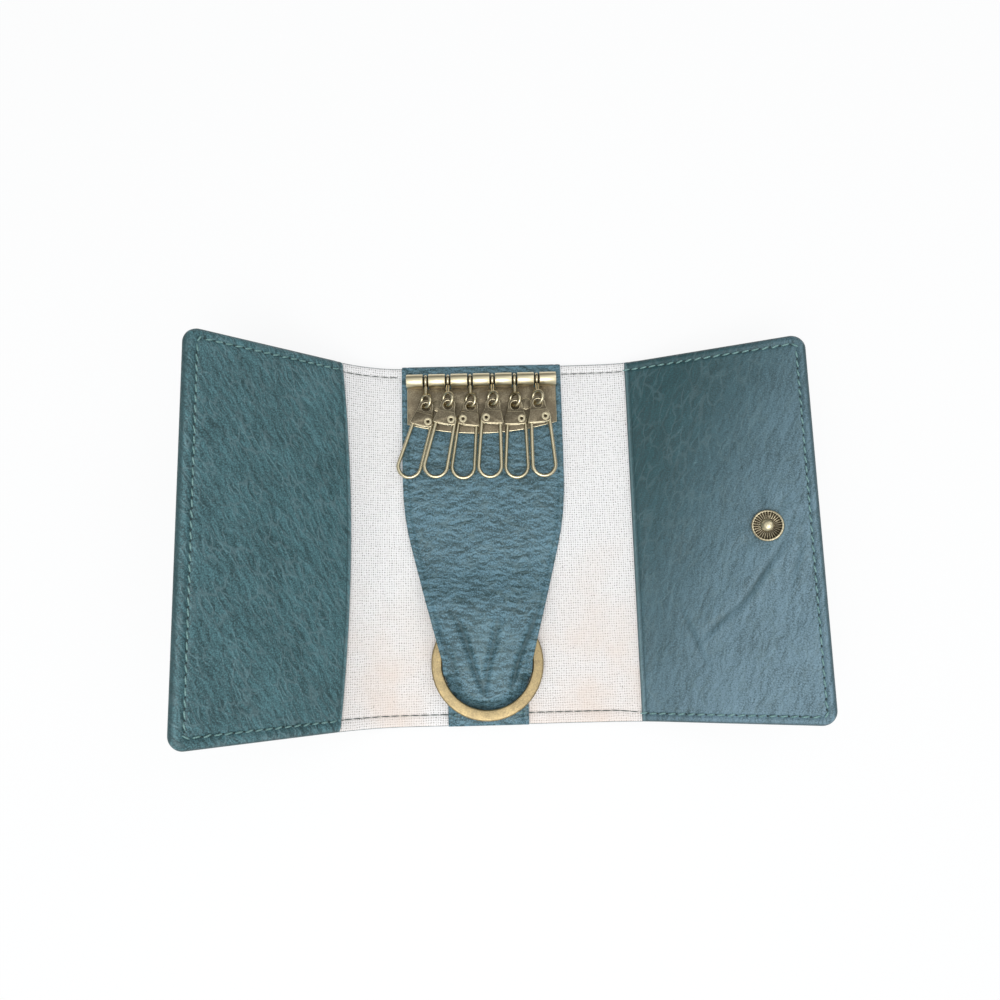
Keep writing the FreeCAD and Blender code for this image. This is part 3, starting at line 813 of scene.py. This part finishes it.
def strap_half(y):
    """Half the strap's width: even at the top, a straight taper, then close inside the ring, then the tab."""
    soft = 1.2 * MM
    tab = 11.0 * MM
    tab_end = 38.4 * MM
    slope = 0.27
    gap = 0.15 * MM
    taper = tab + slope * max(0.0, y + tab_end)
    half = taper - soft * math.log(1 + math.exp((taper - STRAP_HALF) / soft))
    down = y - RING_Y
    if abs(down) < RING_IN and down < MM:
        half = max(half, math.sqrt(RING_IN**2 - down**2) - gap)
    return max(half, tab)


def strap_under(x, y):
    """Height of the strap's underside: over the ring's far side, then down inside the ring along its edge."""
    run = 14.0 * MM
    dive = 3.4 * MM
    gap = 0.35 * MM
    rise = ease((RING_Y + RING_OUT + run - y) / run)
    inside = (RING_IN - math.hypot(x, y - RING_Y)) / dive
    fall = ease(max(inside, (y - RING_Y + 4.5 * MM) / (2.5 * MM)))
    return FACE_Z + (ring_top(y) + gap - FACE_Z) * min(rise, fall)


def gathers(x, y):
    """Lengthwise folds where the strap is drawn together at the ring."""
    begin, grow = 15 * MM, 12 * MM
    stop, fade = 38 * MM, 7 * MM
    above, run = 20 * MM, 22 * MM
    near = ease((-y - begin) / grow) * (1 - ease((-y - stop) / fade))
    down = (-y - above) / run
    across = x / strap_half(y)
    lift = 0.35 * math.cos(across * math.pi / 2)
    for top, low, deep, wide in GATHERS:
        bow = top + (low - top) * down + 0.03 * math.sin(y / (4 * MM) + 9 * top)
        lift -= deep * hump(across, bow, wide)
    return 1.0 * MM * near * lift


class KEYCASE_OT_strap(bpy.types.Operator):
    """Makes the leather strap that carries the key row and holds the ring"""

    bl_idname = "keycase.strap"
    bl_label = "Strap"

    def execute(self, context):
        thick = 1.5 * MM
        rim = 0.9 * MM
        edge = 3 * MM
        rows = roll_rows(rim, (0, 30, 60, 90), (1.25, 1.6, 1.95, 2.4))
        half = STRAP_HALF
        xs = [-half + d for d in rows] + spread(-half + edge, half - edge, 0.7 * MM)
        xs += [half - d for d in reversed(rows)]
        low = RING_Y - RING_OUT
        high = RING_Y + RING_OUT + 8 * MM
        ys = spread(-HALF_H, low, 0.4 * MM)[:-1] + spread(low, high, 0.5 * MM)
        ys += spread(high, HALF_H, 0.8 * MM)[1:]

        def place(x, y, top):
            wide = strap_half(y)
            d = half - abs(x)
            x = math.copysign(wide - d, x) if d < edge else x * (wide - edge) / (half - edge)
            z = strap_under(x, y)
            lift = roll_height(d + 0.1 * MM, rim)
            drawn = gathers(x, y) * min(1, d / (2 * MM)) * min(1, (z - FACE_Z) / (2 * MM))
            z += drawn
            if top:
                z += thick * (0.55 + 0.45 * lift)
                z -= 0.28 * MM * hump(d, 1.6 * MM, 0.3 * MM)
                ripple = wave(x, y, turn=0.2, long=6 * MM, short=3 * MM, seed=2.2)
                z += 0.12 * MM * ripple * min(1, d / (3 * MM))
                z -= 0.5 * MM * (1 - roll_height(HALF_H - abs(y), 0.8 * MM))
            else:
                z += 0.45 * thick * (1 - lift)
            return Vector((x, y, z)), (x, y), -drawn / (0.8 * MM)

        strap = as_object(sheet_mesh(xs, ys, place), "strap_sheet", "leather_strap", sharp=60)
        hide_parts("key_strap")
        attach(strap, "centre")
        return {"FINISHED"}


def stitches(name, material, runs, size):
    """A row of stitches. runs holds the middle, direction and outward side of each, size its half lengths."""
    bm = bmesh.new()
    scale = Matrix.Diagonal((*size, 1.0))
    for middle, way, out in runs:
        way = way.normalized()
        side = out.cross(way).normalized()
        turn = Matrix((way, side, way.cross(side))).transposed().to_4x4()
        place = Matrix.Translation(middle) @ turn @ scale
        bmesh.ops.create_icosphere(bm, subdivisions=2, radius=1.0, matrix=place)
    return as_object(bm, name, material, sharp=180)


def border(fold, sizes):
    """Flat places of the stitches round a wing: along the top, down the free edge, back along the bottom."""
    radius = 1.2 * MM
    merge = 12 * MM
    top = HALF_H - sizes.stitch_top
    low = fold.inset - HALF_H
    far = fold.end - fold.inset
    across = far - radius - fold.middle
    down = top - low - 2 * radius
    turn = radius * math.pi / 2
    whole = 2 * (across + turn) + down
    count = round(whole / sizes.stitch_pitch)
    spots = []
    for i in range(count):
        s = (i + 0.5) * whole / count
        if s < across:
            spots.append((fold.middle + s, top))
        elif s > whole - across:
            u = fold.middle + whole - s
            apart = (sizes.stitch_in - fold.inset) * (1 - ease((u - fold.middle) / merge))
            spots.append((u, low + apart))
        elif s < across + turn:
            a = (s - across) / radius
            spots.append((far - radius + radius * math.sin(a), top - radius + radius * math.cos(a)))
        elif s > across + turn + down:
            a = (whole - across - s) / radius
            spots.append((far - radius + radius * math.sin(a), low + radius - radius * math.cos(a)))
        else:
            spots.append((far, top - radius - (s - across - turn)))
    return spots


class KEYCASE_OT_stitching(bpy.types.Operator):
    """Makes the topstitching round the wings and along the top and bottom edges"""

    bl_idname = "keycase.stitching"
    bl_label = "Stitching"

    def execute(self, context):
        sizes = context.scene.key_case_leather
        for fold in folds():
            self.wing(fold, sizes)
            self.centre(fold, sizes)
        self.tab(sizes)
        return {"FINISHED"}

    def row(self, name, material, runs, long, across, low=1.0):
        """long is half a stitch's length, across half its width in millimetres, low its height as a share."""
        row = stitches(name, material, runs, (long, across * MM, across * low * MM))
        return row

    def wing(self, fold, sizes):
        rand = random.Random(4)
        pitch = sizes.stitch_pitch
        lap = 0.5 * MM
        inside, canvas, outside, hole_shades = [], [], [], []
        spots = border(fold, sizes)
        for i, (u, y) in enumerate(spots):
            before = spots[max(i - 1, 0)]
            after = spots[min(i + 1, len(spots) - 1)]
            on_pocket = u > mouth(fold, y) + lap
            height = sizes.pocket - SUNK_POCKET if on_pocket else -SUNK_CANVAS
            u = max(u, fold.middle + 0.5 * pitch)
            here = fold.at(u, y, height)
            way = fold.at(after[0], after[1], height) - fold.at(before[0], before[1], height)
            out = fold.at(u, y, height + MM) - here
            if on_pocket:
                if after[0] > mouth(fold, y) + lap:
                    # A dark blob at the end of each stitch is painted shade inside the needle hole.
                    hole_shades.append((here + way.normalized() * pitch / 2 - out * 0.08, way, out))
                way = Matrix.Rotation(rand.uniform(0.10, 0.34), 3, out.normalized()) @ way
                inside.append((here, way, out))
            else:
                canvas.append((here, way, out))
            outside.append((fold.at(u, y, SUNK_BACK - sizes.outer), way, out))
        name = "stitch_wing_" + fold.name
        fold.bend_outer(self.row(name, "thread", inside, long=0.40 * pitch, across=0.25))
        hole_shades = self.row(name + "_holes", "needle_hole_shade", hole_shades, long=0.30 * MM, across=0.26, low=0.4)
        fold.bend_outer(hole_shades)
        canvas = self.row(name + "_canvas", "thread_on_canvas", canvas, long=0.52 * pitch, across=0.13)
        fold.bend_outer(canvas)
        fold.bend_outer(self.row(name + "_back", "thread", outside, long=0.42 * pitch, across=0.24))

    def centre(self, fold, sizes):
        pitch = sizes.stitch_pitch
        canvas, outside = [], []
        steps = round(fold.middle / pitch)
        for i in range(steps):
            u = (i + 0.5) * fold.middle / steps
            for y in (HALF_H - sizes.stitch_top, sizes.stitch_in - HALF_H):
                way = fold.at(u + MM, y, 0) - fold.at(u - MM, y, 0)
                out = fold.at(u, y, MM) - fold.at(u, y, 0)
                if u > strap_half(y) + 0.2 * pitch:
                    canvas.append((fold.at(u, y, -SUNK_CANVAS), way, out))
                outside.append((fold.at(u, y, SUNK_BACK - sizes.outer), way, out))
        name = "stitch_centre_" + fold.name
        fold.bend_inner(self.row(name, "thread_on_canvas", canvas, long=0.52 * pitch, across=0.13))
        fold.bend_inner(self.row(name + "_back", "thread", outside, long=0.42 * pitch, across=0.24))

    def tab(self, sizes):
        y = sizes.stitch_in - HALF_H
        height = FACE_Z + 1.34 * MM
        reach = 8.5 * MM
        way = Vector((1, 0.2, 0))
        up = Vector((0, 0, 1))
        runs = [(Vector((x, y, height)), way, up) for x in spread(-reach, reach, sizes.stitch_pitch)]
        row = self.row("stitch_tab", "thread", runs, long=0.40 * sizes.stitch_pitch, across=0.18)
        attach(row, "centre")


def spun(outline, steps):
    """A round mesh from its half section of (radius, height) corners."""
    bm = bmesh.new()
    ring = [bm.verts.new((r, 0, z)) for r, z in outline]
    edges = [bm.edges.new(pair) for pair in zip(ring, ring[1:])]
    bmesh.ops.spin(
        bm, geom=ring + edges, cent=(0, 0, 0), axis=(0, 0, 1), angle=2 * math.pi, steps=steps, use_merge=True
    )
    bmesh.ops.remove_doubles(bm, verts=bm.verts, dist=1e-7)
    bmesh.ops.recalc_face_normals(bm, faces=bm.faces)
    return bm


def turned(name, material, outline, place, steps=64):
    """A round piece carried to its place."""
    bm = spun(outline, steps)
    bm.transform(place)
    return as_object(bm, name, material, sharp=35)


def as_brass(piece, node, body):
    """Puts a brass piece in the place of a solid."""
    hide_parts(node)
    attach(piece, body)


def softened(node, name, body, width, rubbed):
    """A copy of a solid with its edges rounded and rubbed bright. rubbed(face) is the wear of other faces."""
    source = frame["nodes"][node]
    bm = bmesh.new()
    bm.from_mesh(source.data)
    layer = bm.faces.layers.float.new("rub")
    bm.transform(source.matrix_world)
    bmesh.ops.remove_doubles(bm, verts=bm.verts, dist=1e-6)
    bmesh.ops.dissolve_limit(bm, angle_limit=math.radians(1), verts=bm.verts, edges=bm.edges)
    edges = [e for e in bm.edges if e.is_manifold and e.calc_face_angle() > math.radians(38)]
    bevel = bmesh.ops.bevel(
        bm, geom=edges, offset=width, offset_type="OFFSET", clamp_overlap=True,
        affect="EDGES", segments=2, profile=0.5, material=-1,
    )
    worn_and_lit = set(bevel["faces"])
    for face in bm.faces:
        face[layer] = 1.0 if face in worn_and_lit else rubbed(face)
    as_brass(as_object(bm, name, "brass", sharp=30), node, body)


def in_mm(section):
    return [(r * MM, z * MM) for r, z in section]


def rounded_corners(points, radius, steps=4):
    """The half section with each inner corner rounded."""
    out = [points[0]]
    for before, here, after in zip(points, points[1:], points[2:]):
        h = Vector(here)
        a = Vector(before) - h
        b = Vector(after) - h
        r = min(radius, 0.45 * a.length, 0.45 * b.length)
        a = h + a.normalized() * r
        b = h + b.normalized() * r
        for i in range(steps + 1):
            t = i / steps
            out.append(tuple(a * (1 - t) ** 2 + h * (2 * t * (1 - t)) + b * t * t))
    return out + [points[-1]]


class KEYCASE_OT_ring(bpy.types.Operator):
    """Makes the flat ring under the strap"""

    bl_idname = "keycase.ring"
    bl_label = "Ring"

    def execute(self, context):
        t = RING_T / 2
        corners = [(RING_IN, 0), (RING_IN, t), (RING_OUT, t), (RING_OUT, -t), (RING_IN, -t), (RING_IN, 0)]
        place = Matrix.Translation((0, RING_Y, RING_Z)) @ Matrix.Rotation(-RING_TILT, 4, "X")
        ring = turned("ring", "brass_ring", rounded_corners(corners, 0.5 * MM), place, 128)
        as_brass(ring, "strap_ring", "strap_ring")
        return {"FINISHED"}


def wire_piece(name, runs, radius):
    """Round wire along one or more runs of points. A closed run starts and ends at the same point."""
    curve = bpy.data.curves.new(name, "CURVE")
    curve.dimensions = "3D"
    curve.bevel_depth = radius
    curve.bevel_resolution = 3
    curve.use_fill_caps = True
    for points in runs:
        closed = (points[0] - points[-1]).length < 1e-7
        points = points[:-1] if closed else points
        spline = curve.splines.new("POLY")
        spline.points.add(len(points) - 1)
        for spot, p in zip(spline.points, points):
            spot.co = (*p, 1.0)
        spline.use_cyclic_u = closed
    holder = bpy.data.objects.new(name + "_path", curve)
    bpy.context.scene.collection.objects.link(holder)
    bpy.context.view_layer.update()
    mesh = bpy.data.meshes.new_from_object(holder.evaluated_get(bpy.context.evaluated_depsgraph_get()))
    bpy.data.objects.remove(holder)
    bm = bmesh.new()
    bm.from_mesh(mesh)
    bpy.data.meshes.remove(mesh)
    bmesh.ops.remove_doubles(bm, verts=bm.verts, dist=1e-7)
    bmesh.ops.recalc_face_normals(bm, faces=bm.faces)
    return as_object(bm, name, "brass_wire", sharp=70)


def arc_points(centre, r, a0, a1, steps):
    turns = [a0 + (a1 - a0) * i / steps for i in range(steps + 1)]
    return [centre + Vector((r * math.cos(a), r * math.sin(a), 0)) for a in turns]


class Hook:
    """One key hook: where its link swings, and the frame of its head with the loop along -Y."""

    def __init__(self, k):
        name = "hook_%d" % (k + 1)
        self.name = name
        swing, sway, gate = (JOINTS[name + end] for end in ("_swing", "_sway", "_gate"))
        self.rod = Vector(swing["pos_m"])
        self.hole = Vector(sway["pos_m"])
        up = Vector(sway["axis"]).normalized()
        down = Vector(MOUNTS[name]["axis"]).normalized()
        right = up.cross(down).normalized()
        right.negate()
        turn = Matrix((right, -down, up)).transposed().to_4x4()
        self.frame = Matrix.Translation(self.hole) @ turn
        self.pivot = self.frame.inverted() @ Vector(gate["pos_m"])
        self.side = 1 if self.pivot.x > 0 else -1
        self.reach = (self.frame.inverted() @ Vector(MOUNTS[name]["pos_m"])).y


class KEYCASE_OT_hooks(bpy.types.Operator):
    """Makes the six hooks: link, head, eyelet and sprung loop"""

    bl_idname = "keycase.hooks"
    bl_label = "Hooks"

    def execute(self, context):
        wire = context.scene.key_case_brass.wire
        for k in range(HOOKS):
            hook = Hook(k)
            self.link(hook, wire)
            self.loop(hook, wire)
            self.eyelet(hook)
            head = hook.name + "_head"
            softened(head, head + "_soft", head, 0.10 * MM, lambda face: 0.0)
        return {"FINISHED"}

    def link(self, hook, wire):
        eye_r = 1.325 * MM
        ring_r = 1.8 * MM
        lean = Matrix.Rotation(math.radians(-42), 3, "Y")
        swing = Matrix.Rotation(math.radians(3), 3, "X")
        away = swing.inverted() @ (hook.hole - hook.rod)
        middle = Vector((0, away.y + ring_r, away.z))
        top = middle + Vector((0, ring_r, 0))
        origin = Vector((0, 0, 0))
        eye = [p.zxy for p in arc_points(origin, eye_r, 0, 2 * math.pi, 24)]
        neck = [top.normalized() * eye_r * 0.9, (top.normalized() * eye_r + top) / 2, top]
        ring = [middle + lean @ p for p in arc_points(origin, ring_r, math.pi / 2, 2.5 * math.pi, 32)]
        runs = [[hook.rod + swing @ p for p in run] for run in (eye, neck, ring)]
        link = hook.name + "_link"
        as_brass(wire_piece(link + "_wire", runs, wire), link, link)

    def loop(self, hook, wire):
        eye_r = 1.16 * MM
        loop_r = 3.2 * MM
        eye_at = Vector((abs(hook.pivot.x), hook.pivot.y, 0))
        end_at = Vector((0, hook.reach + loop_r, 0))
        tip = Vector((-2.3 * MM, -4.8 * MM, 0))
        across = end_at - eye_at
        out = math.atan2(across.y, across.x) + math.acos((eye_r - loop_r) / across.length)
        down = tip - end_at
        back = math.atan2(down.y, down.x) + math.acos(loop_r / down.length) - 2 * math.pi
        start = eye_at + Vector((eye_r * math.cos(out), eye_r * math.sin(out), 0))
        path = [start] + arc_points(end_at, loop_r, out, back, 28) + [tip]
        eye = arc_points(eye_at, eye_r, 0, 2 * math.pi, 24)
        flip = Matrix.Diagonal((hook.side, 1, 1, 1))
        runs = [[hook.frame @ flip @ p for p in run] for run in (path, eye)]
        loop = hook.name + "_loop"
        as_brass(wire_piece(loop + "_wire", runs, wire), loop, loop)

    def eyelet(self, hook):
        """A tubular rivet. The sizes of its half section are in millimetres."""
        bore = 0.42
        shank = 0.6
        rim = 1.12
        half = 0.78
        flange = 0.95
        section = [(bore, 0), (bore, flange), (rim, flange), (rim, half), (shank, half), (shank, 0)]
        section = rounded_corners(in_mm(section), 0.16 * MM, 3)
        section = section[1:-1] + [(r, -z) for r, z in reversed(section[1:-1])]
        place = hook.frame @ Matrix.Translation(hook.pivot)
        eyelet = turned(hook.name + "_eyelet", "brass_wire", section + section[:1], place, 32)
        as_brass(eyelet, hook.name + "_rivet", hook.name + "_head")


class KEYCASE_OT_key_row(bpy.types.Operator):
    """Finishes the key plate with its rolled barrel, the rod and the rivets"""

    bl_idname = "keycase.key_row"
    bl_label = "Key Row"

    def execute(self, context):
        softened("key_plate", "key_plate_soft", "centre", 0.14 * MM, self.on_barrel)
        softened("plate_rivets", "plate_rivets_soft", "centre", 0.12 * MM, lambda face: 0.1)
        for node in ("hinge_rod", "snap_post"):
            materials = frame["nodes"][node].data.materials
            materials.clear()
            materials.append(made("brass_dark"))
        return {"FINISHED"}

    def on_barrel(self, face):
        """The rolled barrel is rubbed bright, the plate is not."""
        inner = 1.7 * MM
        outer = 2.1 * MM
        at = face.calc_center_median()
        out = math.hypot(at.y - ROD_Y, at.z - ROD_Z)
        return 1.0 if inner < out < outer and abs(face.normal.x) < 0.5 else 0.0


def snap_frame(fold, u, n):
    """Frame on a wing with Z out of its inner face."""
    here = fold.at(u, 0, n)
    up = (fold.at(u, 0, n + MM) - here).normalized()
    y = Vector((0, 1, 0))
    return Matrix.Translation(here) @ Matrix((y.cross(up), y, up)).transposed().to_4x4()


class KEYCASE_OT_snap(bpy.types.Operator):
    """Makes the snap: ribbed stud and cap on the right wing, socket on the left wing"""

    bl_idname = "keycase.snap"
    bl_label = "Snap"

    def execute(self, context):
        sizes = context.scene.key_case_leather
        left, right = folds()
        stud_at = right.end - sizes.snap_edge
        socket_at = left.hinge + left.crease + right.crease - (stud_at - right.hinge)
        self.stud(snap_frame(right, stud_at, sizes.pocket), context.scene.key_case_brass.ribs)
        cap = turned("snap_cap_dome", "brass", in_mm(CAP), snap_frame(right, stud_at, -sizes.outer))
        as_brass(cap, "snap_cap", "right_wing")
        section = rounded_corners(in_mm(SOCKET), 0.2 * MM, 3)
        socket = turned("snap_socket_cup", "brass", section, snap_frame(left, socket_at, -sizes.outer))
        as_brass(socket, "snap_socket", "left_wing")
        return {"FINISHED"}

    def stud(self, place, ribs):
        """The stud's dish is ribbed. Its dome, its rim and the crests of the ribs are rubbed."""
        dish = 1.6 * MM
        rim = 3.6 * MM
        rim_top = 0.96 * MM
        dome = 1.25 * MM
        rib_from = 2.1 * MM
        rib_at = 2.75 * MM
        bm = spun(rounded_corners(in_mm(STUD), 0.25 * MM, 3), ribs * 8)
        layer = bm.faces.layers.float.new("rub")
        for v in bm.verts:
            r = math.hypot(v.co.x, v.co.y)
            if dish < r < rim and v.co.z < rim_top:
                on = hump(r, rib_at, 0.8 * MM)
                v.co.z += 0.2 * MM * on * math.cos(ribs * math.atan2(v.co.y, v.co.x))
        for face in bm.faces:
            at = face.calc_center_median()
            r = math.hypot(at.x, at.y)
            crest = math.cos(ribs * math.atan2(at.y, at.x)) > 0.6 and rib_from < r
            rubbed = 0.6 if at.z > dome else 0.35 if r > rim else -0.15
            face[layer] = max(rubbed, 0.45) if crest else rubbed
        bm.transform(place)
        stud = as_object(bm, "snap_stud_ribbed", "brass", sharp=50)
        as_brass(stud, "snap_stud", "right_wing")


class KEYCASE_OT_stage(bpy.types.Operator):
    """Makes the table, the lights and the camera"""

    bl_idname = "keycase.stage"
    bl_label = "Stage"

    def execute(self, context):
        scene = context.scene
        sizes = scene.key_case_stage
        scene.view_settings.view_transform = "Standard"
        self.floor(sizes)
        self.world(scene)
        self.lamp("key_light", (-0.03, -0.20, 0.50), size=0.34, power=1.32)
        self.lamp("fill_light", (0.30, 0.25, 0.42), size=0.30, power=0.20)
        about_x, about_y, about_z = (Matrix.Rotation(a, 4, axis) for a, axis in zip(sizes.turn, "XYZ"))
        turn = about_z @ about_x @ about_y
        to_camera = Matrix.Translation(sizes.shift) @ turn @ Matrix.Translation((0, 0, -FACE_Z))
        data = bpy.data.cameras.new("camera")
        data.lens = sizes.lens
        data.sensor_width = 36.0
        data.clip_start = 0.005
        camera = bpy.data.objects.new("camera", data)
        camera.matrix_world = to_camera.inverted()
        scene.collection.objects.link(camera)
        scene.camera = camera
        return {"FINISHED"}

    def floor(self, sizes):
        n = new_finish("table")
        seen = n.add("ShaderNodeLightPath", out="Is Camera Ray")
        rays = seen.socket.node.outputs
        for ray in ("Is Glossy Ray", "Is Transmission Ray"):
            seen = seen.most(Wire(n, rays[ray]))
        lit = n.add("ShaderNodeBsdfDiffuse", None, {"Color": rgba(sizes.floor)})
        glow = n.add("ShaderNodeEmission", None, {"Color": (1, 1, 1, 1), "Strength": 1.0})
        n.end(n.add("ShaderNodeMixShader", None, {0: seen * 0.86, 1: lit, 2: glow}))
        bm = bmesh.new()
        bmesh.ops.create_grid(bm, x_segments=1, y_segments=1, size=3.0)
        floor = as_object(bm, "table", "table")

    def world(self, scene):
        """Soft daylight, brighter on the side of the window."""
        scene.world = bpy.data.worlds.new("studio")
        n = Nodes(scene.world)
        way = n.add("ShaderNodeTexCoord", out="Generated")
        window = Vector((0.02, -0.34, 0.90)).normalized()
        towards = n.vectors("DOT_PRODUCT", {0: way, 1: window}, "Value")
        seen = n.add("ShaderNodeLightPath", out="Is Camera Ray")
        strength = (towards.step(0.05, 0.95) * 0.85 + 0.14).most(seen)
        tint = n.mix(seen, (0.93, 0.97, 1.0), (1.0, 1.0, 1.0))
        sky = n.add("ShaderNodeBackground", None, {"Color": tint, "Strength": strength})
        n.end(sky, "ShaderNodeOutputWorld")

    def lamp(self, name, place, size, power):
        data = bpy.data.lights.new(name, "AREA")
        data.shape = "DISK"
        data.size = size
        data.energy = power
        lamp = bpy.data.objects.new(name, data)
        lamp.location = place
        lamp.rotation_euler = (-Vector(place)).to_track_quat("-Z", "Y").to_euler()
        bpy.context.scene.collection.objects.link(lamp)


class KEYCASE_PT_panel(bpy.types.Panel):
    """Lists the steps that dress the key case"""

    bl_idname = "KEYCASE_PT_panel"
    bl_label = "Key Case"
    bl_space_type = "VIEW_3D"
    bl_region_type = "UI"
    bl_category = "Key Case"

    def draw(self, context):
        for step in STEPS:
            self.layout.operator(step.bl_idname)
        for group in GROUPS:
            holder = getattr(context.scene, group)
            for key in holder.bl_rna.properties.keys():
                if key not in ("rna_type", "name"):
                    self.layout.prop(holder, key)


STEPS = (
    KEYCASE_OT_finishes,
    KEYCASE_OT_shell,
    KEYCASE_OT_lining,
    KEYCASE_OT_pockets,
    KEYCASE_OT_strap,
    KEYCASE_OT_stitching,
    KEYCASE_OT_key_row,
    KEYCASE_OT_hooks,
    KEYCASE_OT_ring,
    KEYCASE_OT_snap,
    KEYCASE_OT_stage,
)
GROUPS = {
    "key_case_leather": KeyCaseLeather,
    "key_case_canvas": KeyCaseCanvas,
    "key_case_brass": KeyCaseBrass,
    "key_case_stage": KeyCaseStage,
}


def register():
    for group, kind in GROUPS.items():
        bpy.utils.register_class(kind)
        setattr(bpy.types.Scene, group, bpy.props.PointerProperty(type=kind))
    for kind in (*STEPS, KEYCASE_PT_panel):
        bpy.utils.register_class(kind)


def unregister():
    for kind in reversed((*STEPS, KEYCASE_PT_panel)):
        bpy.utils.unregister_class(kind)
    for group, kind in GROUPS.items():
        delattr(bpy.types.Scene, group)
        bpy.utils.unregister_class(kind)


def main():
    register()
    for step in STEPS:
        space, name = step.bl_idname.split(".")
        getattr(getattr(bpy.ops, space), name)()
    bpy.context.view_layer.update()


if __name__ == "__main__":
    main()
